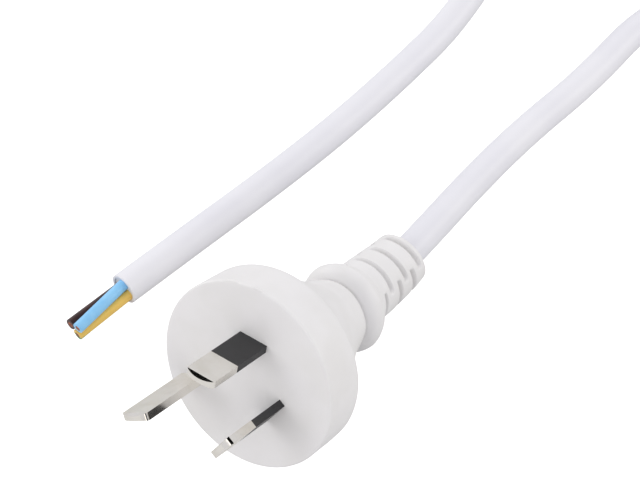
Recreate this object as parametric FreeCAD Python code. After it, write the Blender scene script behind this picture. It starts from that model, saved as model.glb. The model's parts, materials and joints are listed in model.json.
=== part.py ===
"""Type I mains plug, moulded onto a round three-core cord whose other end is cut and stripped.

The plug lies as it does on a table: the rear edge of its round disc and the end of its strain relief
touch the surface at z = 0, so the three blades point forward (-Y) and a little up. The cord leaves
the strain relief toward +Y, its unseen middle is wound into a coil, and its cut end comes back
beside the plug. Every piece is built in the plug's own frame, with the plug's axis along Y, the
front face at y = 0 and the earth blade straight down, and is then rolled, tilted and laid down.
"""
import FreeCAD
import Part
import math
import os

Vector = FreeCAD.Vector
ORIGIN = Vector(0, 0, 0)
AXIS_X = Vector(1, 0, 0)
AXIS_Y = Vector(0, 1, 0)
AXIS_Z = Vector(0, 0, 1)

# Blades: two current-carrying blades in an inverted V, and a longer earth blade below them.
blade_width = 6.45
blade_thickness = 1.6
live_blade_length = 17.6
earth_blade_length = 19.45
blade_lean_deg = 30.0
live_blade_side = 7.25
live_blade_height = 7.6
earth_blade_drop = 10.31
datum_below_axis = 3.4
datum_beside_axis = 0.2
tip_bulge = 0.9
tip_corner_radius = 0.8
tip_thickness = 1.0
sleeve_length = 9.35
sleeve_wall = 0.3
sleeve_root = 1.5

# Inside the body: blade roots, crimp barrels, bridge, cores and copper.
root_depth = 7.0
tang_width = 3.0
tang_end = 9.6
barrel_diameter = 3.2
barrel_end = 14.5
bridge_front = 1.5
bridge_back = 6.5
bridge_rim = 3.0
core_diameter = 2.45
core_gap = 0.03
copper_diameter = 1.3
copper_start = 10.4
earth_barrel_shift = 2.9
core_bend_radius = 3.8

# Body of the plug: radii about its axis, and distances behind the front face.
disc_radius = 19.8
disc_draft = 0.1
face_edge_radius = 0.7
shoulder_edge_at = 8.4
shoulder_edge_radius = 3.0
shoulder_slope_deg = 38.7
shoulder_middle = (17.0, 13.75)
dome_start = (24.5, 9.5)
dome_middle = (26.9, 8.4)
groove_front = 28.0
groove_back = 29.8
groove_radius = 6.6
collar_front_radius = 7.9
collar_rise = (31.2, 9.1)
collar_top = (33.2, 9.7)
collar_fall = (35.3, 9.0)
collar_back = (36.4, 7.9)
collar_hollow = (37.3, 7.05)

# Strain relief: it starts straight and bends up toward the surface that it lies on.
relief_radius = 6.65
relief_end_radius = 5.8
relief_sections = 6
bend_start = 38.5
bend_radius = 50.0
bend_length = 16.4
relief_end_edge = 1.3
slot_width = 1.2
slot_depth = 1.8
slot_pitch = 4.9
slots_in_row = 3
first_slot = 1.6

# Pose on the table.
roll_deg = 57.0
resting_places = 200

# Cord: its diameter, its free route on the table, and the coil of the length between the two ends.
cord_diameter = 7.0
anchor_start = 26.5
first_run = 9.2
plug_route = [
    (-0.9, 61.5, 4.3),
    (-0.7, 82.5, 3.5),
    (2.1, 106.0, 3.5),
]
cut_route = [
    (-33.1, 103.5, 3.5),
    (-33.3, 80.0, 3.5),
    (-34.4, 58.5, 3.5),
    (-36.95, 36.5, 3.5),
    (-40.4, 13.4, 3.5),
    (-42.1, 1.4, 3.5),
]
coil_centre = (-23.0, 194.5)
coil_mean_diameter = 76.0
coil_pitch = 7.1
coil_turns_wide = 3
coil_turns_high = 2
coil_slack = 0.3
coil_plug_lead_deg = 20.0
coil_cut_lead_deg = 31.5
coil_lead_length = 27.0
coil_lead_run = 23.0
tie_angle_deg = 90.0
tie_width = 4.0
tie_thickness = 0.8

# Cut end: the jacket's open end, and three cores that leave it.
jacket_end_length = 6.0
stripped_length = 13.9
cut_lay_deg = -38.0
cut_tip_shift = (0.4, -0.75)
cut_core_angles = {"active": 210.0, "neutral": 90.0, "earth": -30.0}

cord_radius = cord_diameter / 2
core_bundle_radius = (core_diameter + core_gap) / math.sqrt(3)
cut_bundle_radius = core_bundle_radius / math.cos(math.radians(cut_lay_deg / 2))
bend_deg = math.degrees(bend_length / bend_radius)
bend_centre = Vector(0, bend_start, bend_radius)


def polar(radius, along, angle_deg):
    """A point at a radius from the plug's axis, its angle measured from +Z toward +X."""
    angle = math.radians(angle_deg)
    return Vector(radius * math.sin(angle), along, radius * math.cos(angle))


def rolled(shape):
    """Turns a piece about the plug's axis, from earth straight down to the roll that it lies at."""
    turned = shape.copy()
    turned.rotate(ORIGIN, AXIS_Y, roll_deg)
    return turned


def carried_round_bend(shape, distance):
    """Carries a piece from the start of the bend to a distance along the strain relief."""
    carried = shape.copy()
    carried.rotate(bend_centre, AXIS_X, math.degrees(distance / bend_radius))
    return carried


def box(x_size, y_from, y_to, z_size):
    """A box centred on the plug's axis in X and Z."""
    return Part.makeBox(x_size, y_to - y_from, z_size, Vector(-x_size / 2, y_from, -z_size / 2))


def line(start, end):
    return Part.LineSegment(start, end).toShape()


def arc(start, middle, end):
    return Part.Arc(start, middle, end).toShape()


def rounded_path(points, radii):
    """Straight runs joined by tangent arcs, one radius for each inner point."""
    edges = []
    start = points[0]
    for before, corner, after, radius in zip(points, points[1:], points[2:], radii):
        to_before = (before - corner).normalize()
        to_after = (after - corner).normalize()
        half_turn = (math.pi - to_before.getAngle(to_after)) / 2
        setback = radius * math.tan(half_turn)
        arc_start = corner + to_before * setback
        arc_end = corner + to_after * setback
        inward = (to_before + to_after).normalize()
        arc_middle = corner + inward * (radius / math.cos(half_turn) - radius)
        edges.append(line(start, arc_start))
        edges.append(arc(arc_start, arc_middle, arc_end))
        start = arc_end
    edges.append(line(start, points[-1]))
    return Part.Wire(edges)


def tube(path, diameter):
    """A solid round bar along a path."""
    first = path.Edges[0]
    start = first.valueAt(first.FirstParameter)
    direction = first.tangentAt(first.FirstParameter)
    section = Part.Wire(Part.makeCircle(diameter / 2, start, direction))
    return path.makePipeShell([section], True, False)


def blade(length, root_at, shift, sleeved):
    """A blade about the origin: its width along Z, its thickness along X, its tip toward -Y."""
    half_width = blade_width / 2
    half_thickness = blade_thickness / 2
    side_end = -(length - tip_bulge)
    corners = [Vector(0, root_at, -half_width), Vector(0, side_end, -half_width)]
    other = [Vector(0, side_end, half_width), Vector(0, root_at, half_width)]
    outline = [
        line(corners[0], corners[1]),
        arc(corners[1], Vector(0, -length, 0), other[0]),
        line(other[0], other[1]),
        line(other[1], corners[0]),
    ]
    face = Part.Face(Part.Wire(outline))
    plate = face.extrude(AXIS_X * blade_thickness)
    tip_corners = [edge for edge in plate.Edges if abs(edge.CenterOfMass.y - side_end) < tip_corner_radius / 10]
    plate = plate.makeFillet(tip_corner_radius, tip_corners)
    plate.translate(AXIS_X * -half_thickness)
    for side in (-1, 1):
        wedge = Part.makePolygon([
            Vector(side * half_thickness, side_end, 0),
            Vector(side * tip_thickness / 2, -length, 0),
            Vector(side * blade_thickness, -length, 0),
            Vector(side * blade_thickness, side_end, 0),
            Vector(side * half_thickness, side_end, 0),
        ])
        bevel = Part.Face(wedge).extrude(AXIS_Z * blade_width * 2)
        bevel.translate(AXIS_Z * -blade_width)
        plate = plate.cut(bevel)
    if sleeved:
        plate = plate.cut(sleeve_solid())
    tang = box(blade_thickness, root_at, tang_end, tang_width)
    barrel = Part.makeCylinder(barrel_diameter / 2, barrel_end - tang_end, Vector(0, tang_end, 0), AXIS_Y)
    for piece in (tang, barrel):
        piece.translate(AXIS_Z * shift)
        plate = plate.fuse(piece)
    return plate.removeSplitter()


def sleeve_solid():
    """The insulating sleeve: a thin rectangular tube let into the blade, flush with its faces."""
    outer = box(blade_thickness, -sleeve_length, sleeve_root, blade_width)
    inner = box(blade_thickness - 2 * sleeve_wall, -sleeve_length, sleeve_root, blade_width - 2 * sleeve_wall)
    return outer.cut(inner)


def placed_blade(shape, side, height, lean_deg):
    """Leans a blade about its own middle and moves it to its place about the plug's axis."""
    placed = shape.copy()
    placed.rotate(ORIGIN, AXIS_Y, lean_deg)
    placed.translate(Vector(side + datum_beside_axis, 0, height - datum_below_axis))
    return rolled(placed)


def core_path(aside, up, bundle_angle_deg, start):
    """A core's line inside the plug: back from its barrel, in to the axis, and into the jacket."""
    radius = math.hypot(aside, up)
    angle_deg = roll_deg + math.degrees(math.atan2(aside, up))
    points = [
        polar(radius, start, angle_deg),
        polar(radius, barrel_end + 2.4, angle_deg),
        polar(core_bundle_radius, anchor_start - 2.4, bundle_angle_deg),
        polar(core_bundle_radius, anchor_start, bundle_angle_deg),
    ]
    return rounded_path(points, [core_bend_radius] * 2)


def core_with_copper(insulation_path, copper_path):
    """The insulation as a tube, and the copper that fills it."""
    copper = tube(copper_path, copper_diameter)
    insulation = tube(insulation_path, core_diameter).cut(copper)
    return insulation, copper


def body_profile():
    """Half the body's outline, from the middle of the face to the start of the bend."""
    slope = math.radians(shoulder_slope_deg)
    edge_centre_radius = disc_radius - disc_draft - shoulder_edge_radius
    shoulder_start = (
        shoulder_edge_at + shoulder_edge_radius * math.sin(slope),
        edge_centre_radius + shoulder_edge_radius * math.cos(slope),
    )
    edge_middle = (
        shoulder_edge_at + shoulder_edge_radius * math.sin(slope / 2),
        edge_centre_radius + shoulder_edge_radius * math.cos(slope / 2),
    )
    face_edge_middle = (
        face_edge_radius * (1 - math.sqrt(0.5)),
        disc_radius - face_edge_radius * (1 - math.sqrt(0.5)),
    )

    def at(point):
        return Vector(0, point[0], point[1])

    face_centre = at((0, 0))
    face_rim = at((0, disc_radius - face_edge_radius))
    wall_front = at((face_edge_radius, disc_radius))
    wall_back = at((shoulder_edge_at, disc_radius - disc_draft))
    groove_start = at((groove_front, groove_radius))
    groove_end = at((groove_back, groove_radius))
    collar_start = at((groove_back, collar_front_radius))
    relief_start = at((bend_start, relief_radius))
    relief_centre = at((bend_start, 0))
    edges = [
        line(face_centre, face_rim),
        arc(face_rim, at(face_edge_middle), wall_front),
        line(wall_front, wall_back),
        arc(wall_back, at(edge_middle), at(shoulder_start)),
        arc(at(shoulder_start), at(shoulder_middle), at(dome_start)),
        arc(at(dome_start), at(dome_middle), groove_start),
        line(groove_start, groove_end),
        line(groove_end, collar_start),
        arc(collar_start, at(collar_rise), at(collar_top)),
        arc(at(collar_top), at(collar_fall), at(collar_back)),
        arc(at(collar_back), at(collar_hollow), relief_start),
        line(relief_start, relief_centre),
        line(relief_centre, face_centre),
    ]
    return Part.Face(Part.Wire(edges))


def relief_radius_at(distance):
    """The strain relief's radius at a distance along it: it narrows evenly to its end."""
    return relief_radius + (relief_end_radius - relief_radius) * distance / bend_length


def relief_bar():
    """The strain relief without its slots and its rounded end: a loft of circles along the bend."""
    sections = []
    for count in range(relief_sections):
        distance = bend_length * count / (relief_sections - 1)
        circle = Part.Wire(Part.makeCircle(relief_radius_at(distance), Vector(0, bend_start, 0), AXIS_Y))
        sections.append(carried_round_bend(circle, distance))
    return Part.makeLoft(sections, True)


def bent_cord():
    """The cord's jacket where it follows the strain relief's bend."""
    section = Part.Face(Part.Wire(Part.makeCircle(cord_radius, Vector(0, bend_start, 0), AXIS_Y)))
    return section.revolve(bend_centre, AXIS_X, bend_deg)


def relief_end():
    """The rounded end of the strain relief, made at the start of the bend and carried round it."""
    inner = relief_end_radius - relief_end_edge
    quarter = relief_end_edge * math.sqrt(0.5)
    back = bend_start + relief_end_edge
    edges = [
        line(Vector(0, bend_start, 0), Vector(0, bend_start, relief_end_radius)),
        arc(
            Vector(0, bend_start, relief_end_radius),
            Vector(0, bend_start + quarter, inner + quarter),
            Vector(0, back, inner),
        ),
        line(Vector(0, back, inner), Vector(0, back, 0)),
        line(Vector(0, back, 0), Vector(0, bend_start, 0)),
    ]
    cap = Part.Face(Part.Wire(edges)).revolve(ORIGIN, AXIS_Y, 360)
    return carried_round_bend(cap, bend_length)


def relief_slot(distance, angle_deg):
    """One slot across the strain relief, flat at its bottom, so that it runs out at both its ends."""
    radius = relief_radius_at(distance)
    corner = Vector(-relief_radius, bend_start - slot_width / 2, radius - slot_depth)
    slot = Part.makeBox(relief_radius * 2, slot_width, relief_radius, corner)
    slot.rotate(ORIGIN, AXIS_Y, angle_deg)
    return carried_round_bend(slot, distance)


def outer_body():
    """The whole moulding, solid, with the slots of its strain relief."""
    body = body_profile().revolve(ORIGIN, AXIS_Y, 360)
    body = body.fuse([relief_bar(), relief_end()])
    slots = []
    for quarter_turn in range(4):
        angle = roll_deg - 45 + 90 * quarter_turn
        row_start = first_slot + (slot_pitch / 2 if quarter_turn % 2 == 0 else 0)
        for count in range(slots_in_row):
            slots.append(relief_slot(row_start + slot_pitch * count, angle))
    return body.cut(slots)


def bridge(blades):
    """The hard insert that spaces the blades: three round lugs joined to a middle, with slots."""
    depth = bridge_back - bridge_front
    lug_radius = blade_width / 2 + bridge_rim / 2
    middles = [
        Vector(-live_blade_side, bridge_front, live_blade_height - datum_below_axis),
        Vector(live_blade_side, bridge_front, live_blade_height - datum_below_axis),
        Vector(0, bridge_front, -earth_blade_drop - datum_below_axis + blade_width / 4),
    ]
    plate = None
    for start, end in zip(middles, middles[1:] + middles[:1]):
        lug = Part.makeCylinder(lug_radius, depth, start, AXIS_Y)
        span = end - start
        across = Vector(-span.z, 0, span.x).normalize() * lug_radius
        corners = [start + across, end + across, end - across, start - across, start + across]
        web = Part.Face(Part.makePolygon(corners)).extrude(AXIS_Y * depth)
        plate = lug.fuse(web) if plate is None else plate.fuse([lug, web])
    middle_plug = Part.makePolygon(middles + middles[:1])
    plate = plate.fuse(Part.Face(middle_plug).extrude(AXIS_Y * depth))
    plate.translate(AXIS_X * datum_beside_axis)
    return rolled(plate.removeSplitter()).cut(blades)


def resting_tilt():
    """The tilt at which the plug lies on its disc's rear edge and its strain relief, and its lift."""
    edge_y = shoulder_edge_at
    edge_z = -(disc_radius - disc_draft - shoulder_edge_radius)
    tilts = []
    for count in range(resting_places + 1):
        distance = bend_length * count / resting_places
        turn = distance / bend_radius
        reach = bend_radius + relief_radius_at(distance)
        across = bend_start + reach * math.sin(turn) - edge_y
        up = bend_radius - reach * math.cos(turn) - edge_z
        tilts.append(math.atan2(up, across) + math.asin(shoulder_edge_radius / math.hypot(across, up)))
    tilt = min(tilts)
    lift = edge_y * math.sin(tilt) - edge_z * math.cos(tilt) + shoulder_edge_radius
    return math.degrees(tilt), lift


def plug_pieces():
    """All pieces of the plug itself, in the plug's frame."""
    pieces = {}
    live_blade = blade(live_blade_length, root_depth, 0, True)
    earth_blade = blade(earth_blade_length, root_depth, earth_barrel_shift, False)
    pieces["active_pin"] = placed_blade(live_blade, live_blade_side, live_blade_height, -blade_lean_deg)
    pieces["neutral_pin"] = placed_blade(live_blade, -live_blade_side, live_blade_height, blade_lean_deg)
    pieces["earth_pin"] = placed_blade(earth_blade, 0, -earth_blade_drop, 0)
    sleeve = sleeve_solid()
    pieces["active_pin_sleeve"] = placed_blade(sleeve, live_blade_side, live_blade_height, -blade_lean_deg)
    pieces["neutral_pin_sleeve"] = placed_blade(sleeve, -live_blade_side, live_blade_height, blade_lean_deg)

    live_up = live_blade_height - datum_below_axis
    earth_up = earth_barrel_shift - earth_blade_drop - datum_below_axis
    routes = {
        "active": (live_blade_side, live_up, roll_deg + 60),
        "neutral": (-live_blade_side, live_up, roll_deg - 60),
        "earth": (0, earth_up, roll_deg + 180),
    }
    for name, (side, up, bundle_angle) in routes.items():
        insulation_path = core_path(side + datum_beside_axis, up, bundle_angle, barrel_end)
        copper_path = core_path(side + datum_beside_axis, up, bundle_angle, copper_start)
        insulation, copper = core_with_copper(insulation_path, copper_path)
        pieces[name + "_core"] = insulation
        pieces[name + "_copper"] = copper
        pieces[name + "_pin"] = pieces[name + "_pin"].cut(copper)

    straight = Part.makeCylinder(cord_radius, bend_start - anchor_start, Vector(0, anchor_start, 0), AXIS_Y)
    last = Part.makeCylinder(cord_radius, relief_end_edge, Vector(0, bend_start, 0), AXIS_Y)
    anchor = straight.fuse([bent_cord(), carried_round_bend(last, bend_length)])
    pieces["cord_anchor"] = anchor.removeSplitter()

    blades = [pieces[name] for name in pieces if "_pin" in name]
    pieces["pin_bridge"] = bridge(blades)
    pieces["plug_body"] = outer_body().cut(list(pieces.values()))
    return pieces


def laid_down(shape, tilt_deg, lift):
    """Tilts a piece with the plug and lifts it onto the table."""
    placed = shape.copy()
    placed.rotate(ORIGIN, AXIS_X, -tilt_deg)
    placed.translate(AXIS_Z * lift)
    return placed


def placed_plug():
    """The plug's pieces as they lie, with the point and the direction in which the cord leaves."""
    tilt_deg, lift = resting_tilt()
    pieces = {name: laid_down(shape, tilt_deg, lift) for name, shape in plug_pieces().items()}
    bounds = Part.makeCompound(list(pieces.values())).optimalBoundingBox(False, False)
    shift = Vector(-bounds.Center.x, -bounds.Center.y, 0)
    for shape in pieces.values():
        shape.translate(shift)
    print("plug tilted by", round(tilt_deg, 3), "with its front face's centre at", AXIS_Z * lift + shift)
    exit_line = line(Vector(0, bend_start + relief_end_edge, 0), Vector(0, bend_start + relief_end_edge + 1, 0))
    exit_line = laid_down(carried_round_bend(exit_line, bend_length), tilt_deg, lift)
    exit_line.translate(shift)
    start, ahead = [vertex.Point for vertex in exit_line.Vertexes]
    return pieces, start, ahead - start


def cord_run(name, points):
    """One free stretch of the cord: straight runs, and arcs as large as their runs allow."""
    radii = []
    for before, corner, after in zip(points, points[1:], points[2:]):
        half_turn = (corner - before).getAngle(after - corner) / 2
        shorter = min((corner - before).Length, (after - corner).Length)
        radii.append(0.45 * shorter / math.tan(half_turn))
    path = rounded_path(points, radii)
    solid = tube(path, cord_diameter)
    expected = math.pi * cord_radius ** 2 * path.Length
    print(name, "length", round(path.Length, 1), "radii", [round(radius) for radius in radii])
    print(name, "volume over section times length", round(solid.Volume / expected, 5))
    return solid, path.Length


def coil_lead(side, height):
    """Where the cord leaves the coil on one side, and its direction away from the coil."""
    angle = math.radians(coil_plug_lead_deg if side > 0 else coil_cut_lead_deg)
    radius = coil_mean_diameter / 2 + coil_pitch * (coil_turns_wide - 1) / 2
    along = Vector(-side * math.sin(angle), -math.cos(angle), 0)
    leaves = Vector(coil_centre[0] + side * radius * math.cos(angle), coil_centre[1] - radius * math.sin(angle), height)
    return leaves, along


def coil_heights():
    """The heights of the cord's middle in the coil's lowest and highest layers."""
    lowest = tie_thickness + cord_radius
    return lowest, lowest + coil_pitch * (coil_turns_high - 1)


def coil_solids():
    """The coil's outer shape with its two straight leads, and the tie round it."""
    lowest, highest = coil_heights()
    width = coil_pitch * (coil_turns_wide - 1) + cord_diameter + 2 * coil_slack
    top = highest + cord_radius + coil_slack
    middle = Vector(coil_centre[0], coil_centre[1], 0)
    inner = coil_mean_diameter / 2 - width / 2
    coil = Part.makeCylinder(inner + width, top, middle).cut(Part.makeCylinder(inner, top, middle))
    for side, height in ((1, lowest), (-1, highest)):
        leaves, along = coil_lead(side, height)
        coil = coil.fuse(Part.makeCylinder(cord_radius, coil_lead_length, leaves, along))
    corner = Vector(inner - tie_thickness, -tie_width / 2, 0)
    band = Part.makeBox(width + 2 * tie_thickness, tie_width, top + tie_thickness, corner)
    hole_corner = Vector(inner, -tie_width / 2, tie_thickness)
    band = band.cut(Part.makeBox(width, tie_width, top - tie_thickness, hole_corner))
    band.rotate(ORIGIN, AXIS_Z, tie_angle_deg)
    band.translate(middle)
    return coil.cut(band), band


def cut_end(start, along):
    """The jacket's open end and the three cores that leave it, each with its copper."""
    across = along.cross(AXIS_Z).normalize() * -1
    inner_radius = cut_bundle_radius + core_diameter / 2 + core_gap
    jacket = Part.makeCylinder(cord_radius, jacket_end_length, start, along)
    jacket = jacket.cut(Part.makeCylinder(inner_radius, jacket_end_length, start, along))
    pieces = {"cut_end_jacket": jacket}
    mouth = start + along * jacket_end_length
    for name, mouth_angle in cut_core_angles.items():

        def at(distance, angle_deg, shift_share):
            angle = math.radians(angle_deg)
            sideways = across * (cut_bundle_radius * math.cos(angle) + cut_tip_shift[0] * shift_share)
            upward = AXIS_Z * (cut_bundle_radius * math.sin(angle) + cut_tip_shift[1] * shift_share)
            return mouth + along * distance + sideways + upward

        root = at(-jacket_end_length, mouth_angle, 0)
        bend = at(0, mouth_angle, 0)
        tip = at(stripped_length, mouth_angle + cut_lay_deg, 1)
        path = rounded_path([root, bend, tip], [core_bend_radius * 4])
        insulation, copper = core_with_copper(path, path)
        pieces["cut_" + name + "_core"] = insulation
        pieces["cut_" + name + "_copper"] = copper
    return pieces


def cord_pieces(start, direction):
    """The free cord from the strain relief to its cut end."""
    lowest, highest = coil_heights()
    into_coil, away_low = coil_lead(1, lowest)
    out_of_coil, away_high = coil_lead(-1, highest)
    plug_points = [start, start + direction * first_run]
    plug_points += [Vector(*point) for point in plug_route]
    plug_points.append(into_coil + away_low * (coil_lead_length + coil_lead_run))
    plug_points.append(into_coil + away_low * coil_lead_length)
    cut_points = [out_of_coil + away_high * coil_lead_length]
    cut_points.append(out_of_coil + away_high * (coil_lead_length + coil_lead_run))
    cut_points += [Vector(*point) for point in cut_route]
    pieces = {}
    pieces["cord_plug_run"], plug_length = cord_run("cord_plug_run", plug_points)
    pieces["cord_cut_run"], cut_length = cord_run("cord_cut_run", cut_points)
    pieces["cord_coil"], pieces["coil_tie"] = coil_solids()
    turns = coil_turns_wide * coil_turns_high - 0.5 + (coil_plug_lead_deg + coil_cut_lead_deg) / 360
    coil_length = turns * math.pi * coil_mean_diameter + 2 * coil_lead_length
    total = plug_length + coil_length + cut_length + jacket_end_length
    print("cord points", [tuple(round(c, 1) for c in point) for point in plug_points + cut_points])
    print("cord length", round(total), "of which in the coil", round(coil_length), "in turns", round(turns, 2))
    end_direction = (cut_points[-1] - cut_points[-2]).normalize()
    pieces.update(cut_end(cut_points[-1], end_direction))
    return pieces


def main():
    os.makedirs("parts", exist_ok=True)
    pieces, start, direction = placed_plug()
    print("cord leaves the strain relief at", start, "toward", direction)
    pieces.update(cord_pieces(start, direction))
    for name, shape in pieces.items():
        shape.exportStep("parts/" + name + ".step")
        print(name, shape.isValid(), len(shape.Solids), round(shape.Volume, 2))


main()
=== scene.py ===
# %% [markdown]
# A moulded mains plug with three flat blades, lying on a table with its round white cord. The cord
# is cut at its other end, so its three coloured cores can be seen. The solids of the plug are loaded
# first and stay where they are. This script gives them their looks, replaces the ones whose surface
# needs more than a plain solid can give, and lights the whole as in a small photo studio. Lengths are
# written in millimetres and turned into Blender's metres where a piece is made.

import bpy
import json
import math
from mathutils import Matrix, Vector


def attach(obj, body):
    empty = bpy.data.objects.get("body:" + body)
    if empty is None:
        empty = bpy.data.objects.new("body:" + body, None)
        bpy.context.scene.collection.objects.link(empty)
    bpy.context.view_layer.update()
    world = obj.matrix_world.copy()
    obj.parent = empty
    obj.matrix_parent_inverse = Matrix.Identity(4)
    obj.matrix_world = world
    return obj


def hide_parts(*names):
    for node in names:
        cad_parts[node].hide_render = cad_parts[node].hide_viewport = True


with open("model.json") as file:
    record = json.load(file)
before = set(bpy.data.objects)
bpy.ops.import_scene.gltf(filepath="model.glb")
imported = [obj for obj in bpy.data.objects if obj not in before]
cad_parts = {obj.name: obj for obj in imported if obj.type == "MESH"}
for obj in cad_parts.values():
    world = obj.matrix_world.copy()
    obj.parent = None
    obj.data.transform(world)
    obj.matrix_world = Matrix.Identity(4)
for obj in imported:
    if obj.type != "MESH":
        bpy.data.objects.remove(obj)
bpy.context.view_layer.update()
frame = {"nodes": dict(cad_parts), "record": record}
MM = 0.001
BODY = "root"


print("nodes", sorted(frame["nodes"]))

# %% [markdown]
# The photograph was taken from in front of the plug, from its right and from high up, with a long
# lens. A long lens from far away keeps the disc's outline nearly as round as it is, so the lens
# matters as much as the angle. The camera's place is given as a point, and its direction by two
# angles, because those stay easy to read and to change.

# %% The camera
LOOK_AZIMUTH = math.radians(37.22)
LOOK_DOWN = math.radians(50.81)
CAMERA_PLACE = Vector((162.37, -206.47, 369.39)) * MM
FOCAL_IN_PIXELS = 2200
PHOTO_WIDTH = 640
SENSOR_WIDTH = 36

camera_data = bpy.data.cameras.new("camera")
camera_data.sensor_width = SENSOR_WIDTH
camera_data.lens = FOCAL_IN_PIXELS / PHOTO_WIDTH * SENSOR_WIDTH
camera = bpy.data.objects.new("camera", camera_data)
camera.location = CAMERA_PLACE
camera.rotation_euler = (math.pi / 2 - LOOK_DOWN, 0, LOOK_AZIMUTH)
bpy.context.scene.collection.objects.link(camera)
bpy.context.scene.camera = camera
print("lens", round(camera_data.lens, 1), "mm")

# %% [markdown]
# A piece of the scene is a mesh or a curve that rides on the plug. These helpers make one: the first
# puts a piece in the scene with its material and its place on the body, the second makes a smooth
# mesh, and the third joins rings of points into one skin, which is how the housing, the jacket's open
# end and the tie are built.

# %% Helpers that make a piece


def finished(piece, material):
    """Puts a piece in the scene with its material, and lets it move with the plug."""
    bpy.context.scene.collection.objects.link(piece)
    piece.data.materials.append(material)
    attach(piece, BODY)
    return piece


def mesh_piece(name, points, faces, material):
    """A smooth mesh from points and faces."""
    mesh = bpy.data.meshes.new(name)
    mesh.from_pydata([tuple(point) for point in points], [], faces)
    mesh.validate()
    for polygon in mesh.polygons:
        polygon.use_smooth = True
    return finished(bpy.data.objects.new(name, mesh), material)


def skin(rings, closed=False):
    """Points and faces that join rings of equally many points, and last to first where closed."""
    size = len(rings[0])
    points = [point for ring in rings for point in ring]
    faces = []
    for row in range(len(rings) if closed else len(rings) - 1):
        here = row * size
        after = (row + 1) % len(rings) * size
        for column in range(size):
            side = (column + 1) % size
            faces.append((here + column, here + side, after + side, after + column))
    return points, faces


# %% [markdown]
# Materials are written as sums. A Wire holds one output of a shader node, and adding or multiplying
# two wires adds the Math node that does it. A Paint is one material: it makes every other kind of
# node by one method, which first sets the node's own settings and then fills its inputs.

# %% Shader sums


class Wire:
    """An output of a shader node that can be used in a sum."""

    def __init__(self, paint, socket):
        self.paint = paint
        self.socket = socket

    def math(self, operation, *others):
        settings = {"operation": operation}
        return self.paint.node("ShaderNodeMath", settings, [self, *others])

    def __add__(self, other):
        return self.math("ADD", other)

    def __mul__(self, other):
        return self.math("MULTIPLY", other)

    __radd__ = __add__
    __rmul__ = __mul__

    def between(self, low, high):
        """0 below low, 1 above high, and a soft rise from one to the other."""
        settings = {"interpolation_type": "SMOOTHSTEP"}
        inputs = {"Value": self, "From Min": low, "From Max": high}
        return self.paint.node("ShaderNodeMapRange", settings, inputs)


class Paint:
    """One material, with a method for its nodes and its main shader ready."""

    def __init__(self, name):
        self.material = bpy.data.materials.new(name)
        self.material.use_nodes = True
        self.tree = self.material.node_tree
        self.shader = self.tree.nodes["Principled BSDF"]

    def fill(self, socket, value):
        if isinstance(value, Wire):
            self.tree.links.new(value.socket, socket)
        else:
            socket.default_value = value

    def node(self, kind, settings=None, inputs=None, output=0):
        """Adds a node: its settings first, then its inputs, by name or in order."""
        made = self.tree.nodes.new(kind)
        for setting, value in (settings or {}).items():
            setattr(made, setting, value)
        named = inputs if isinstance(inputs, dict) else dict(enumerate(inputs or []))
        for key, value in named.items():
            self.fill(made.inputs[key], value)
        return Wire(self, made.outputs[output])

    def place(self):
        """The point on the object, in metres."""
        return self.node("ShaderNodeTexCoord", output="Object")

    def dot(self, vector, direction):
        settings = {"operation": "DOT_PRODUCT"}
        return self.node("ShaderNodeVectorMath", settings, [vector, direction], output="Value")

    def along(self, direction):
        """How far the point lies along a direction, in metres."""
        return self.dot(self.place(), direction)

    def facing(self, direction):
        """1 where the surface looks along a direction or straight away from it, less elsewhere."""
        normal = self.node("ShaderNodeNewGeometry", output="Normal")
        return self.dot(normal, direction).math("ABSOLUTE")

    def turned(self, angles, stretch):
        """The point on the object, turned and then stretched, for a texture that runs one way."""
        settings = {"vector_type": "TEXTURE"}
        turned = self.node("ShaderNodeMapping", settings, {"Vector": self.place(), "Rotation": angles})
        return self.node("ShaderNodeMapping", None, {"Vector": turned, "Scale": stretch})

    def noise(self, scale, detail=2, angles=(0, 0, 0), stretch=(1, 1, 1)):
        """Soft noise about 0.5, as many waves to a metre as scale says."""
        inputs = {"Vector": self.turned(angles, stretch), "Scale": scale, "Detail": detail}
        return self.node("ShaderNodeTexNoise", inputs=inputs)

    def cells(self, scale):
        """How far the point is from the middle of its cell, for bundled strands cut across."""
        inputs = {"Vector": self.place(), "Scale": scale, "Randomness": 0.5}
        return self.node("ShaderNodeTexVoronoi", inputs=inputs)

    def mixed(self, share, colour_a, colour_b):
        """A colour between two colours."""
        inputs = {"Factor": share, 6: colour_a, 7: colour_b}
        return self.node("ShaderNodeMix", {"data_type": "RGBA"}, inputs, output=2)

    def bump(self, height, depth):
        """A normal that follows a height, which is depth metres from its lowest to its highest."""
        inputs = {"Height": height, "Distance": depth, "Strength": 1.0}
        return self.node("ShaderNodeBump", inputs=inputs)

    def main(self, **inputs):
        """Fills the main shader's inputs and gives the finished material."""
        for name, value in inputs.items():
            self.fill(self.shader.inputs[name.replace("_", " ")], value)
        return self.material


def colour(red, green, blue):
    """A colour as the screen shows it, from 0 to 255, turned into light."""
    parts = [part / 255 for part in (red, green, blue)]
    light = [part / 12.92 if part <= 0.04045 else ((part + 0.055) / 1.055) ** 2.4 for part in parts]
    return (*light, 1.0)


print("pure white is", colour(255, 255, 255), "and middle grey is", colour(128, 128, 128))


# %% [markdown]
# The housing and the cord are both soft white PVC, but of two batches. The moulded housing is a
# warmer white with a fine matt grain from the mould, and the cord's jacket is a cooler white and a
# little glossier, with faint streaks along it from the die that it was drawn through.

# %% White plastics
PLUG_TILT = math.radians(19.5)


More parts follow.
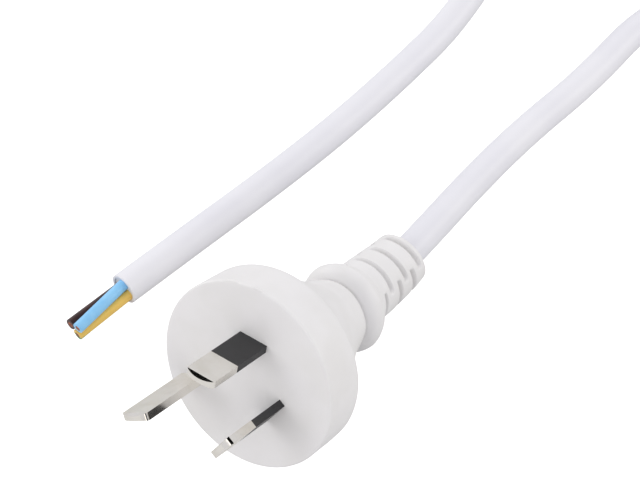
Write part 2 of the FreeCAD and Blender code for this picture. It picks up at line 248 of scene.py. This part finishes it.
def moulded_white():
    paint = Paint("moulded_white")
    cloud = paint.noise(90, detail=3)
    grain = paint.noise(4200, detail=2)
    tint = paint.mixed(cloud.between(0.35, 0.65), colour(237, 236, 235), colour(241, 240, 240))
    return paint.main(
        Base_Color=tint,
        Roughness=0.42 + 0.12 * cloud,
        Normal=paint.bump(grain, 0.005 * MM),
    )


def jacket_white():
    paint = Paint("jacket_white")
    cloud = paint.noise(60, detail=2)
    streak = paint.noise(1500, detail=2, stretch=(1, 0.02, 1))
    grain = paint.noise(2600, detail=2)
    tint = paint.mixed(cloud.between(0.35, 0.65), colour(236, 236, 242), colour(240, 240, 245))
    return paint.main(
        Base_Color=tint,
        Roughness=0.34 + 0.1 * cloud,
        Normal=paint.bump(0.6 * streak + 0.4 * grain, 0.004 * MM),
    )


def insert_grey():
    paint = Paint("insert_grey")
    cloud = paint.noise(140, detail=3)
    tint = paint.mixed(cloud, colour(178, 178, 176), colour(196, 196, 193))
    return paint.main(Base_Color=tint, Roughness=0.5 + 0.1 * cloud)


def tie_white():
    paint = Paint("tie_white")
    ribs = paint.noise(1800, detail=1, stretch=(1, 0.1, 1))
    # The colour follows the ribs' bump: the grooves between the ribs are painted darker than the rib
    # tops, as painted shade.
    tint = paint.mixed(ribs, colour(214, 214, 214), colour(232, 232, 230))
    rough = 0.45 + 0.2 * ribs
    return paint.main(Base_Color=tint, Roughness=rough, Normal=paint.bump(ribs, 0.02 * MM))


WHITE_HOUSING = moulded_white()
WHITE_JACKET = jacket_white()
print("white plastics", WHITE_HOUSING.name, WHITE_JACKET.name)

# %% [markdown]
# The blades are brass with a bright nickel plate. Their two broad faces are finely brushed, so mirror
# images in them are blurred, and their narrow sides are smooth and mirror clearly. The surface's own
# direction tells the two apart. Fine scratches run along the blades, and the plate is a little duller
# in patches. The sleeves are moulded from black nylon, and their fine grain makes them look dark grey.

# %% Nickel and black nylon


def nickel_plate(name, broad_face):
    """Nickel plate that is brushed on a blade's two broad faces and smooth on its sides."""
    paint = Paint(name)
    along_blade = (-PLUG_TILT, 0, 0)
    scratches = paint.noise(6000, detail=3, angles=along_blade, stretch=(1, 0.03, 1))
    patches = paint.noise(260, detail=3)
    dull = patches.between(0.35, 0.8)
    brushed = paint.facing(broad_face).between(0.95, 0.99)
    tint = paint.mixed(dull, colour(238, 235, 228), colour(228, 224, 214))
    return paint.main(
        Base_Color=tint,
        Metallic=1.0,
        Roughness=0.09 + 0.3 * brushed + 0.03 * dull + 0.05 * scratches.between(0.45, 0.75),
        Normal=paint.bump(scratches, 0.0012 * MM),
    )


def black_nylon():
    paint = Paint("black_nylon")
    grain = paint.noise(5200, detail=2)
    cloud = paint.noise(300, detail=2)
    tint = paint.mixed(cloud, colour(44, 44, 45), colour(50, 50, 52))
    rough = 0.44 + 0.14 * grain
    return paint.main(Base_Color=tint, Roughness=rough, Normal=paint.bump(grain, 0.006 * MM))


# %% [markdown]
# A core's insulation is soft PVC, coloured right through. The earth core has two colours, yellow with
# a green stripe, and here the stripe lies on the underside. The copper that shows at the cut faces is
# a bundle of fine strands: a cell pattern paints the gaps between them darker, as painted shade in the
# gaps.

# %% Cores and copper


def core_pvc(name, light, dark):
    paint = Paint(name)
    cloud = paint.noise(420, detail=2)
    grain = paint.noise(3800, detail=2)
    tint = paint.mixed(cloud.between(0.3, 0.7), light, dark)
    rough = 0.36 + 0.12 * cloud
    return paint.main(Base_Color=tint, Roughness=rough, Normal=paint.bump(grain, 0.004 * MM))


def striped_pvc(name, first, second, stripe_below):
    """Insulation with a stripe on its underside, below a height above the table."""
    paint = Paint(name)
    height = paint.along((0, 0, 1))
    edge = 0.06 * MM
    stripe = height.between(stripe_below - edge, stripe_below + edge)
    grain = paint.noise(3800, detail=2)
    tint = paint.mixed(stripe, second, first)
    rough = 0.36 + 0.1 * grain
    return paint.main(Base_Color=tint, Roughness=rough, Normal=paint.bump(grain, 0.004 * MM))


def stranded_copper():
    paint = Paint("stranded_copper")
    strand = paint.cells(4200)
    # The gaps between the strands are painted a darker copper, as painted shade in them, and are
    # rougher.
    gap = strand.between(0.3, 0.62)
    tint = paint.mixed(gap, colour(214, 132, 92), colour(120, 58, 36))
    return paint.main(Base_Color=tint, Metallic=0.85, Roughness=0.3 + 0.25 * gap)


STRIPE_BELOW = 1.2
YELLOW = colour(246, 206, 104)
GREEN = colour(70, 140, 80)
BROWN = core_pvc("core_brown", colour(74, 48, 46), colour(58, 38, 38))
BLUE = core_pvc("core_blue", colour(152, 214, 255), colour(140, 206, 252))
GREEN_YELLOW = striped_pvc("core_green_yellow", YELLOW, GREEN, STRIPE_BELOW * MM)
COPPER = stranded_copper()
print("green stripe below", STRIPE_BELOW, "mm above the table")

# %% [markdown]
# Every solid of the model that stays in view keeps its shape and takes its material here. Stamped
# blades and moulded sleeves have no knife-sharp edges, so a narrow bevel rounds them, and the light
# draws the fine bright lines along them that the photograph shows.

# %% Materials on the model's own pieces


def dress(node_name, material, edge=0.0):
    """Gives a node of the model its material, and a narrow rounding of its edges."""
    node = frame["nodes"][node_name]
    node.data.materials.clear()
    node.data.materials.append(material)
    if edge:
        bevel = node.modifiers.new("edges", "BEVEL")
        bevel.width = edge
        bevel.segments = 3
        bevel.limit_method = "ANGLE"
        bevel.angle_limit = math.radians(30)
        bevel.harden_normals = False


NYLON = black_nylon()
BROAD_FACES = {
    "active_pin": (0.886, -0.055, -0.461),
    "neutral_pin": (-0.053, 0.328, 0.943),
    "earth_pin": (-0.548, 0.279, 0.789),
}
for blade_name, broad_face in BROAD_FACES.items():
    dress(blade_name, nickel_plate("nickel_" + blade_name, broad_face), edge=0.14 * MM)
for sleeve_name in ("active_pin_sleeve", "neutral_pin_sleeve"):
    dress(sleeve_name, NYLON, edge=0.1 * MM)
for core_name, insulation in (("active", BROWN), ("neutral", BLUE), ("earth", GREEN_YELLOW)):
    dress(core_name + "_core", insulation)
    dress(core_name + "_copper", COPPER)
    dress("cut_" + core_name + "_core", insulation, edge=0.12 * MM)
    dress("cut_" + core_name + "_copper", COPPER)
dress("pin_bridge", insert_grey())
dress("cord_anchor", WHITE_JACKET)
print("materials so far", [material.name for material in bpy.data.materials])

# %% [markdown]
# The cord comes next, because everything else is arranged round it. It leaves the strain relief,
# runs out of the picture, is wound into a coil there, and comes back beside the plug to its cut end.
# It is one smooth spline whose control points are the corners of the route, and the coil's turns are
# worked out by a loop: round the lower layer from the outside in, up, and out again on top. A spline
# runs a little inside its control points, so those of the coil stand a little outside its turns.

# %% The cord's route
CORD_DIAMETER = 7.0
PLUG_ROUTE = [
    (0.0, 37.38, 5.82),
    (0.0, 46.57, 5.7),
    (-0.9, 61.5, 4.3),
    (-0.7, 82.5, 3.5),
    (2.1, 106.0, 3.5),
    (2.3, 132.1, 4.3),
]
CUT_ROUTE = [
    (-35.3, 128.3, 11.4),
    (-33.1, 103.5, 3.5),
    (-33.3, 80.0, 3.5),
    (-34.4, 58.5, 3.5),
    (-36.95, 36.5, 3.5),
    (-40.4, 13.4, 3.5),
    (-42.94, -4.54, 3.5),
]
COIL_CENTRE = (-23.0, 194.5)
COIL_MEAN_RADIUS = 38.0
COIL_PITCH = 7.1
COIL_LOWEST = 4.3
COIL_LEADS_DEG = (20.0, 31.5)
COIL_STEPS = 16
CROSSING_DEG = (225, 315)


def smooth_step(value, low, high):
    """0 up to low, 1 from high on, and a soft rise from one to the other."""
    share = min(max((value - low) / (high - low), 0.0), 1.0)
    return share * share * (3 - 2 * share)


def coil_levels():
    """Radius and height of each turn: the lower layer from outside in, the upper from inside out."""
    inner, middle, outer = [COIL_MEAN_RADIUS + COIL_PITCH * step for step in (-1, 0, 1)]
    lower = [(radius, COIL_LOWEST) for radius in (outer, middle, inner)]
    upper = [(radius, COIL_LOWEST + COIL_PITCH) for radius in (inner, middle, outer)]
    return lower + upper


def coil_points():
    """Control points of the coil. Each turn keeps its radius, and crosses to the next on one side."""
    levels = coil_levels()
    start = -COIL_LEADS_DEG[0]
    end = 360 * (len(levels) - 1) + 180 + COIL_LEADS_DEG[1]
    count = round((end - start) / 360 * COIL_STEPS)
    step = math.radians((end - start) / count)
    outside = 1 / math.cos(step / 2) ** 1.5
    points = []
    for number in range(count + 1):
        angle = start + (end - start) * number / count
        turn = int(angle // 360) if angle >= 0 else 0
        here = Vector(levels[turn])
        after = Vector(levels[min(turn + 1, len(levels) - 1)])
        radius, height = here.lerp(after, smooth_step(angle - 360 * turn, *CROSSING_DEG))
        direction = math.radians(angle)
        x = COIL_CENTRE[0] + radius * outside * math.cos(direction)
        y = COIL_CENTRE[1] + radius * outside * math.sin(direction)
        points.append((x, y, height))
    return points


def spline_curve(name, points):
    """A smooth open spline that starts and ends on its first and last control points."""
    data = bpy.data.curves.new(name, "CURVE")
    data.dimensions = "3D"
    spline = data.splines.new("NURBS")
    spline.points.add(len(points) - 1)
    for control, point in zip(spline.points, points):
        control.co = (*(Vector(point) * MM), 1)
    spline.order_u = 3
    spline.use_endpoint_u = True
    return data


cord_data = spline_curve("cord", PLUG_ROUTE + coil_points() + CUT_ROUTE)
cord_data.bevel_depth = CORD_DIAMETER / 2 * MM
cord_data.bevel_resolution = 14
cord_data.resolution_u = 12
cord_data.use_fill_caps = False
cord = finished(bpy.data.objects.new("cord", cord_data), WHITE_JACKET)
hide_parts("cord_plug_run", "cord_coil", "cord_cut_run")
print("control points of the cord", len(cord_data.splines[0].points))

# %% [markdown]
# The cord's tube is open at its cut end. This piece is the cut itself: the lip of the jacket's wall, a
# very short bore behind it, and the bore's end, out of which the three cores come. The lip was cut
# with a blade, so it is nearly square. It is turned from a short profile, like a piece on a lathe.

# %% The jacket's open end
JACKET_BORE_LENGTH = 0.2
JACKET_WALL = 0.75
RING_COLUMNS = 64


def ring_about(centre, direction, radius):
    """A ring of points round a direction."""
    turn = Vector((0, 0, 1)).rotation_difference(direction)
    ring = []
    for column in range(RING_COLUMNS):
        angle = 2 * math.pi * column / RING_COLUMNS
        ring.append(centre + turn @ Vector((radius * math.cos(angle), radius * math.sin(angle), 0)))
    return ring


def jacket_end():
    mouth = Vector(CUT_ROUTE[-1]) * MM
    direction = (mouth - Vector(CUT_ROUTE[-2]) * MM).normalized()
    outer = CORD_DIAMETER / 2
    inner = outer - JACKET_WALL
    profile = [
        (-0.02, outer),
        (0.06, outer - 0.03),
        (0.1, outer - 0.1),
        (0.1, inner + 0.06),
        (0.05, inner + 0.01),
        (-0.1, inner),
        (-JACKET_BORE_LENGTH, inner),
        (-JACKET_BORE_LENGTH, inner - 0.05),
        (-JACKET_BORE_LENGTH, inner - 0.1),
    ]
    rings = []
    for along, radius in profile:
        rings.append(ring_about(mouth + direction * along * MM, direction, radius * MM))
    points, faces = skin(rings)
    last_ring = (len(rings) - 1) * RING_COLUMNS
    faces.append(tuple(range(last_ring, last_ring + RING_COLUMNS)))
    return mesh_piece("jacket_end", points, faces, WHITE_JACKET)


jacket_mouth = jacket_end()
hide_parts("cut_end_jacket")
print("the jacket's wall is", JACKET_WALL, "mm thick")

# %% [markdown]
# The coil is held by a soft flat tie, which goes round all six turns as one closed loop. A real tie
# bends round the turns without a sharp corner, so the loop's section is a rectangle with rounded
# corners. The same section, a little larger or smaller, is repeated round the tie's thickness.

# %% The tie
TIE_ANGLE = math.radians(90)
TIE_WIDTH = 4.0
TIE_THICKNESS = 0.8
TIE_EDGE = 0.15
TIE_SLACK = 0.3
TIE_CORNER = 2.6
TIE_CORNER_STEPS = 6


def tie_outline(outset):
    """The loop's section as (across, up) points, so far outside the turns."""
    half = COIL_PITCH + CORD_DIAMETER / 2 + TIE_SLACK + outset
    low = TIE_THICKNESS - outset
    high = COIL_LOWEST + COIL_PITCH + CORD_DIAMETER / 2 + TIE_SLACK + outset
    corner = TIE_CORNER + outset
    middles = [
        (half - corner, high - corner),
        (corner - half, high - corner),
        (corner - half, low + corner),
        (half - corner, low + corner),
    ]
    outline = []
    for quarter, (across, up) in enumerate(middles):
        for step in range(TIE_CORNER_STEPS + 1):
            angle = math.pi / 2 * (quarter + step / TIE_CORNER_STEPS)
            outline.append((across + corner * math.cos(angle), up + corner * math.sin(angle)))
    return outline


def coil_tie():
    side = TIE_WIDTH / 2
    rounds = [
        (0, TIE_EDGE - side),
        (0, side - TIE_EDGE),
        (TIE_EDGE, side),
        (TIE_THICKNESS - TIE_EDGE, side),
        (TIE_THICKNESS, side - TIE_EDGE),
        (TIE_THICKNESS, TIE_EDGE - side),
        (TIE_THICKNESS - TIE_EDGE, -side),
        (TIE_EDGE, -side),
    ]
    centre = Vector((*COIL_CENTRE, 0))
    turn = Matrix.Rotation(TIE_ANGLE, 3, "Z")
    rings = []
    for outset, aside in rounds:
        outline = tie_outline(outset)
        places = [turn @ Vector((COIL_MEAN_RADIUS + across, aside, up)) for across, up in outline]
        rings.append([(centre + place) * MM for place in places])
    points, faces = skin(rings, closed=True)
    return mesh_piece("tie_loop", points, faces, tie_white())


tie_loop = coil_tie()
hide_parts("coil_tie")
print("points of the tie", len(tie_loop.data.vertices))

# %% [markdown]

# %% [markdown]
# The housing replaces its plain solid with one fine skin. It is moulded in one piece, so its surface
# runs on without a joint from the front face to the end of the strain relief. From the face to the
# collar it is round about one axis, and a profile of (along, radius) points says it all. The profile
# is made of bows, each through three points. Those behind the collar are evened out afterwards, so
# that no crease is left between them.

# %% Profile of the housing
DISC_RADIUS = 19.8
DISC_DRAFT = 0.1
FRONT_SWELL = 0.25
FACE_EDGE = 0.4
FACE_EDGE_STEPS = 12
FACE_RINGS = (2.0, 8.0, 14.0)
RIM_RINGS = (0.55, 0.66, 0.72, 0.78, 0.84, 0.9, 1.02)
DISC_WALL = [(2.5, 0.17), (5.5, 0.05)]
SHOULDER_AT = 8.4
SHOULDER_RADIUS = 3.0
SHOULDER_SLOPE = math.radians(38.7)
SHOULDER_STEPS = 8
COLLAR_TOP = (33.4, 9.82)
BEND_START = 38.5
RELIEF_RADII = (7.1, 6.85, 6.25)
BOWS_TO_COLLAR = [
    ((17.0, 13.75), (24.2, 9.7), 16),
    ((27.4, 8.6), (29.5, 7.85), 12),
    ((29.95, 7.6), (30.05, 7.15), 8),
    ((30.25, 6.85), (30.5, 7.15), 8),
    ((30.57, 7.7), (30.8, 8.25), 6),
    ((31.8, 9.35), COLLAR_TOP, 10),
]
BOWS_BEHIND_COLLAR = [
    ((35.35, 9.0), (36.4, 7.75), 10),
    ((37.3, 7.3), (BEND_START, RELIEF_RADII[0]), 8),
]
EVENING_ROUNDS = 4


def through(start, middle, end, count):
    """Points on the smooth bow through three points, without its first."""
    a, b, c = [Vector(point) for point in (start, middle, end)]
    points = []
    for number in range(1, count + 1):
        u = number / count
        points.append(tuple(a * (1 - u) * (1 - 2 * u) + b * 4 * u * (1 - u) + c * u * (2 * u - 1)))
    return points


def bows(start, pieces):
    """Points on several bows. Each is a (middle, end, count), and starts where the last one ended."""
    points = []
    for middle, end, count in pieces:
        points += through(start, middle, end, count)
        start = end
    return points


def evened(points):
    """The same points with their radii evened out, each toward its two neighbours."""
    for _ in range(EVENING_ROUNDS):
        radii = [radius for _, radius in points]
        for number in range(1, len(points) - 1):
            between = (radii[number - 1] + 2 * radii[number] + radii[number + 1]) / 4
            points[number] = (points[number][0], between)
    return points


def disc_profile():
    """(along, radius) of the face, its rounded edge and the disc's wall."""
    front = DISC_RADIUS + FRONT_SWELL
    rim = front - FACE_EDGE
    off_corner = FACE_EDGE * (1 - math.sqrt(0.5))
    profile = [(0, radius) for radius in (*FACE_RINGS, rim - 0.5, rim)]
    profile += through((0, rim), (off_corner, front - off_corner), (FACE_EDGE, front), FACE_EDGE_STEPS)
    profile += [(along, front - 0.01) for along in RIM_RINGS]
    profile += [(along, DISC_RADIUS + beyond) for along, beyond in DISC_WALL]
    profile.append((SHOULDER_AT, DISC_RADIUS - DISC_DRAFT))
    return profile


def on_shoulder(angle):
    """A point on the disc's rounded rear edge."""
    along = SHOULDER_AT + SHOULDER_RADIUS * math.sin(angle)
    return along, DISC_RADIUS - DISC_DRAFT - SHOULDER_RADIUS + SHOULDER_RADIUS * math.cos(angle)


def front_profile():
    """(along, radius) of the disc, the cone, the dome, the groove and the collar."""
    shoulder = [on_shoulder(SHOULDER_SLOPE * share) for share in (0, 0.5, 1)]
    profile = disc_profile() + through(*shoulder, SHOULDER_STEPS)
    profile += bows(shoulder[-1], BOWS_TO_COLLAR)
    return profile + evened(bows(COLLAR_TOP, BOWS_BEHIND_COLLAR))


print("rings from the face to the strain relief", len(front_profile()))

# %% [markdown]
# The strain relief bends toward the table, and the cord's pull has set it a little to one side. It
# grows thinner toward its end. Its underside is flatter than its other sides, because the plug lies
# on it. All this is a radius that depends on how far along the bend a point is and on its angle.

# %% The strain relief without its slots
BEND_RADIUS = 50.0
BEND_LENGTH = 16.4
RELIEF_UNDER = (6.7, 5.78)
UNDERSIDE_DEG = (110, 170)
RELIEF_ASIDE = (-0.55, -0.25)
ASIDE_FROM_UNTIL = (0, 3)
ASIDE_BACK_FROM = 6


def apart(angle_deg, other_deg):
    """How many degrees two directions are apart."""
    return abs((angle_deg - other_deg + 180) % 360 - 180)


def plain_radius(distance, angle_deg):
    """The relief's radius without its slots, at a distance along the bend."""
    share = distance / BEND_LENGTH
    start, middle, end = RELIEF_RADII
    round_side = start * (1 - share) * (1 - 2 * share) + middle * 4 * share * (1 - share)
    round_side += end * share * (2 * share - 1)
    flat_side = RELIEF_UNDER[0] + (RELIEF_UNDER[1] - RELIEF_UNDER[0]) * share
    return round_side + (flat_side - round_side) * smooth_step(apart(angle_deg, 0), *UNDERSIDE_DEG)


def relief_aside(distance):
    """How far the relief stands to one side."""
    most, last = RELIEF_ASIDE
    back = smooth_step(distance, ASIDE_BACK_FROM, BEND_LENGTH)
    return most * smooth_step(distance, *ASIDE_FROM_UNTIL) + (last - most) * back


print("radius of the relief's end", plain_radius(BEND_LENGTH, 0), "mm on top")

# %% [markdown]
# The slots let the strain relief bend. Each is a dip in the skin, left by a steel finger of the mould.
# Its wall toward the collar is steep and its other wall rises gently, and it runs out softly at both
# its ends. There are four rows round the relief. Two have their slots between those of the other two.

# %% The slots of the strain relief
SLOT_SHAPE = (-0.62, -0.42, 0.15, 0.95)
SLOT_SPAN_DEG = (38.0, 54.0)
UPPER_SLOTS = [(3.75, 2.1), (9.55, 2.1), (14.9, 2.0)]
SIDE_SLOTS = [(0.9, 3.3), (7.05, 2.6), (12.1, 2.4)]
SLOT_ROWS = {16: UPPER_SLOTS, 106: SIDE_SLOTS, 196: UPPER_SLOTS, 268: SIDE_SLOTS}


def slot_places():
    """The (angle, distance, depth) of every slot's middle."""
    return [(angle, distance, depth) for angle, row in SLOT_ROWS.items() for distance, depth in row]


def relief_radius(distance, angle_deg, places):
    """The relief's radius at a place on it, with the slots."""
    steep_top, steep_foot, gentle_foot, gentle_top = SLOT_SHAPE
    dip = 0.0
    for slot_angle, slot_distance, depth in places:
        beside = distance - slot_distance
        off = apart(angle_deg, slot_angle)
        if steep_top < beside < gentle_top and off < SLOT_SPAN_DEG[1]:
            steep_wall = smooth_step(beside, steep_top, steep_foot)
            gentle_wall = smooth_step(beside, gentle_foot, gentle_top)
            dip = max(dip, depth * (steep_wall - gentle_wall) * (1 - smooth_step(off, *SLOT_SPAN_DEG)))
    return plain_radius(distance, angle_deg) - dip


print("slots", len(slot_places()))

# %% [markdown]
# No moulding is quite round. This one is a quarter of a millimetre fuller on its right side, and at two
# places on the disc's front edge the mould left a thin flake of flash with a fine seam in front of it.

# %% Marks of the mould
RIGHT_SIDE_DEG = 90
RIGHT_SIDE_FADE_DEG = (10, 45)
RIGHT_SWELL = 0.25
RIGHT_SWELL_RISE = (1, 6)
RIGHT_SWELL_END = 30.5
FLASHES = [(-25.0, 7.0, 0.2), (-5.5, 3.5, 0.2)]
FLASH_FULL_SHARE = 0.6
FLASH_AT = 0.5
FLASH_FADE = (0.08, 0.22)
FLASH_SEAM_AT = 0.14
FLASH_SEAM_FADE = (0.03, 0.12)
FLASH_SEAM_DEPTH = 0.4
FLASH_END = 1.1
FLASH_INNER_RADIUS = 19


def flash_height(along, angle_deg):
    """The height of the flash at a place on the disc's front edge, less the seam in front of it."""
    height = 0.0
    seam = 0.0
    for middle, reach, tallest in FLASHES:
        share = 1 - smooth_step(apart(angle_deg, middle), reach * FLASH_FULL_SHARE, reach)
        height = max(height, tallest * share)
        seam = max(seam, FLASH_SEAM_DEPTH * share)
    height *= 1 - smooth_step(abs(along - FLASH_AT), *FLASH_FADE)
    return height - seam * (1 - smooth_step(abs(along - FLASH_SEAM_AT), *FLASH_SEAM_FADE))


def moulded_radius(along, radius, angle_deg):
    """A radius of the profile as the mould really left it."""
    if along < FLASH_END and radius > FLASH_INNER_RADIUS:
        radius += flash_height(along, angle_deg)
    if along < RIGHT_SWELL_END:
        right_side = 1 - smooth_step(apart(angle_deg, RIGHT_SIDE_DEG), *RIGHT_SIDE_FADE_DEG)
        radius += RIGHT_SWELL * right_side * smooth_step(along, *RIGHT_SWELL_RISE)
    return radius


print("radius of the disc's wall at the right", moulded_radius(7.0, DISC_RADIUS, RIGHT_SIDE_DEG), "mm")

# %% [markdown]
# The rings are worked out in the plug's own frame, where its axis lies along Y, and then laid down on
# the table. The model's record says where the middle of the front face is and which way it looks, so
# the skin lies exactly as the solid does. The last rings turn in to the mouth that the cord leaves by.

# %% The housing, in the plug's own frame and then laid down
COLUMNS = 288
ANGLES_DEG = [360 * column / COLUMNS for column in range(COLUMNS)]
RELIEF_STEP = 0.1
RELIEF_END_EDGE = 0.9
RELIEF_END_STEPS = 6
RELIEF_LIP = 3.85
MOUTH_GAP = 0.12
MOUTH_EDGE = 0.15
MOUTH_BACK = -0.5
face_mount = frame["record"]["mounts"][0]
FACE_CENTRE = Vector(face_mount["pos_m"])
PLUG_OUTWARD = Vector(face_mount["axis"])
LAID_DOWN = Matrix.Rotation(-math.atan2(PLUG_OUTWARD.z, -PLUG_OUTWARD.y), 3, "X")


def laid_down(point):
    """From the plug's own frame in millimetres to its place on the table in metres."""
    return FACE_CENTRE + LAID_DOWN @ (Vector(point) * MM)


def front_rings():
    rings = []
    for along, radius in front_profile():
        ring = []
        for angle_deg in ANGLES_DEG:
            angle = math.radians(angle_deg)
            here = moulded_radius(along, radius, angle_deg)
            ring.append(laid_down((here * math.sin(angle), along, here * math.cos(angle))))
        rings.append(ring)
    return rings


def relief_ring(distance, radii, beyond=0.0, aside=0.0):
    """A ring round the relief's bent axis, beyond it by some millimetres along its last direction."""
    turn = distance / BEND_RADIUS
    across = Vector((1, 0, 0))
    ahead = Vector((0, math.cos(turn), math.sin(turn)))
    up = Vector((0, -math.sin(turn), math.cos(turn)))
    y = BEND_START + BEND_RADIUS * math.sin(turn)
    z = BEND_RADIUS * (1 - math.cos(turn))
    middle = Vector((aside, y, z)) + ahead * beyond
    ring = []
    for column, radius in enumerate(radii):
        angle = 2 * math.pi * column / COLUMNS
        ring.append(laid_down(middle + radius * (math.sin(angle) * across + math.cos(angle) * up)))
    return ring


def relief_rings():
    places = slot_places()
    rings = []
    rows = round(BEND_LENGTH / RELIEF_STEP)
    for row in range(1, rows + 1):
        distance = BEND_LENGTH * row / rows
        radii = [relief_radius(distance, angle, places) for angle in ANGLES_DEG]
        rings.append(relief_ring(distance, radii, aside=relief_aside(distance)))
    return rings


def mouth_rings():
    """The rounded end of the relief, and the hole in it."""
    end_radii = [plain_radius(BEND_LENGTH, angle) for angle in ANGLES_DEG]
    rings = []
    for step in range(1, RELIEF_END_STEPS + 1):
        angle = math.pi / 2 * step / RELIEF_END_STEPS
        radii = [RELIEF_LIP + (radius - RELIEF_LIP) * math.cos(angle) for radius in end_radii]
        beyond = RELIEF_END_EDGE * math.sin(angle)
        rings.append(relief_ring(BEND_LENGTH, radii, beyond, RELIEF_ASIDE[1]))
    hole = CORD_DIAMETER / 2 + MOUTH_GAP
    rings.append(relief_ring(BEND_LENGTH, [hole + MOUTH_EDGE] * COLUMNS, RELIEF_END_EDGE))
    rings.append(relief_ring(BEND_LENGTH, [hole] * COLUMNS, RELIEF_END_EDGE - MOUTH_EDGE))
    rings.append(relief_ring(BEND_LENGTH, [hole] * COLUMNS, MOUTH_BACK))
    return rings


def housing():
    points, faces = skin(front_rings() + relief_rings() + mouth_rings())
    faces.append(tuple(reversed(range(COLUMNS))))
    return mesh_piece("housing", points, faces, WHITE_HOUSING)


housing_skin = housing()
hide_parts("plug_body")
print("points of the housing", len(housing_skin.data.vertices))

# %% [markdown]
# The studio starts with a white floor under a white sky. The sky is a light that comes from all sides,
# a little cooler than the lamps. The floor is made pure white for the camera, and a little brighter
# for mirror-like reflections, but sends no extra light onto the plug, so the shading stays soft.

# %% Floor and sky
FLOOR_GREY = colour(205, 205, 205)
FLOOR_HALF = 4.0
FLOOR_GLOW = 1.0
MIRRORED_GLOW = 0.2
SKY_STRENGTH = 0.785
SKY_TINT = (0.957, 0.955, 1, 1)


def flat_sheet(name, half_width, half_height, material):
    """A flat sheet of the studio, which isn't part of the plug."""
    corners = [(-half_width, -half_height, 0), (half_width, -half_height, 0)]
    corners += [(half_width, half_height, 0), (-half_width, half_height, 0)]
    mesh = bpy.data.meshes.new(name)
    mesh.from_pydata(corners, [], [(0, 1, 2, 3)])
    mesh.materials.append(material)
    sheet = bpy.data.objects.new(name, mesh)
    bpy.context.scene.collection.objects.link(sheet)
    return sheet


def studio_floor():
    paint = Paint("floor")
    seen = paint.node("ShaderNodeLightPath", output="Is Camera Ray")
    mirrored = paint.node("ShaderNodeLightPath", output="Is Glossy Ray")
    paint.main(
        Base_Color=FLOOR_GREY,
        Roughness=0.9,
        Specular_IOR_Level=0.0,
        Emission_Color=(1, 1, 1, 1),
        Emission_Strength=FLOOR_GLOW * seen + MIRRORED_GLOW * mirrored,
    )
    floor = flat_sheet("floor", FLOOR_HALF, FLOOR_HALF, paint.material)


def studio_sky():
    world = bpy.data.worlds.new("sky")
    world.use_nodes = True
    background = world.node_tree.nodes["Background"]
    background.inputs["Color"].default_value = SKY_TINT
    background.inputs["Strength"].default_value = SKY_STRENGTH
    bpy.context.scene.world = world


studio_floor()
studio_sky()
bpy.context.scene.view_settings.view_transform = "Standard"
print("the floor is", 2 * FLOOR_HALF, "m wide")

# %% [markdown]
# Bright metal shows what stands round it, so black cards give the blades their dark lines: one
# overhead, one low behind at the right, and one in front at the right. Only mirror-like reflections
# see the cards, and they throw no shadow. Each is a name, a place, a direction, a width and a height.

# %% Black cards
CARDS = [
    ("card_overhead", (-0.05, 0.0, 0.5), (0, 0, -1), 0.9, 0.9),
    ("card_right", (0.12, 0.09, 0.035), (-1, -0.8, 0), 0.14, 0.07),
    ("card_front", (0.24, -0.2, 0.13), (-0.75, 0.53, -0.37), 0.14, 0.14),
]


def black_card(name, place, facing, width, height):
    """A flat card that only glossy reflections see."""
    paint = Paint(name)
    black = paint.main(Base_Color=(0.01, 0.01, 0.01, 1), Roughness=1.0, Specular_IOR_Level=0.0)
    card = flat_sheet(name, width / 2, height / 2, black)
    card.location = place
    card.rotation_euler = Vector(facing).to_track_quat("Z", "Y").to_euler()
    card.visible_camera = False
    card.visible_diffuse = False
    card.visible_shadow = False


for card_values in CARDS:
    black_card(*card_values)
print("black cards", len(CARDS))

# %% [markdown]
# Five large soft lamps stand round the plug. They are stronger at the left and behind at the right
# than in front, as the shading in the photograph shows, and their light is a little warm against the
# cooler sky. Each is a name, a place, a power in watts and a tint.

# %% Lamps
LAMP_SIZE = 0.7
AIM = Vector((0, 0, 0.02))
LAMPS = [
    ("left", (-1.0, 0.0, 0.45), 2.36, (1, 0.96, 0.86)),
    ("front_left", (-0.6, -0.9, 0.6), 1.45, (1, 1, 0.97)),
    ("front", (0.3, -1.0, 0.5), 1.3, (1, 0.92, 0.82)),
    ("back", (-0.2, 1.0, 0.6), 0.44, (1, 1, 1)),
    ("back_right", (0.8, 0.7, 0.5), 2.5, (1, 0.96, 0.83)),
]


def soft_lamp(name, place, power, tint):
    """A round lamp behind a cloth, aimed at the plug."""
    data = bpy.data.lights.new(name, "AREA")
    data.shape = "DISK"
    data.size = LAMP_SIZE
    data.energy = power
    data.color = tint
    lamp = bpy.data.objects.new(name, data)
    lamp.location = place
    lamp.rotation_euler = (AIM - Vector(place)).to_track_quat("-Z", "Y").to_euler()
    bpy.context.scene.collection.objects.link(lamp)


for lamp_values in LAMPS:
    soft_lamp(*lamp_values)
print("power of all the lamps", round(sum(power for _, _, power, _ in LAMPS), 2), "W")
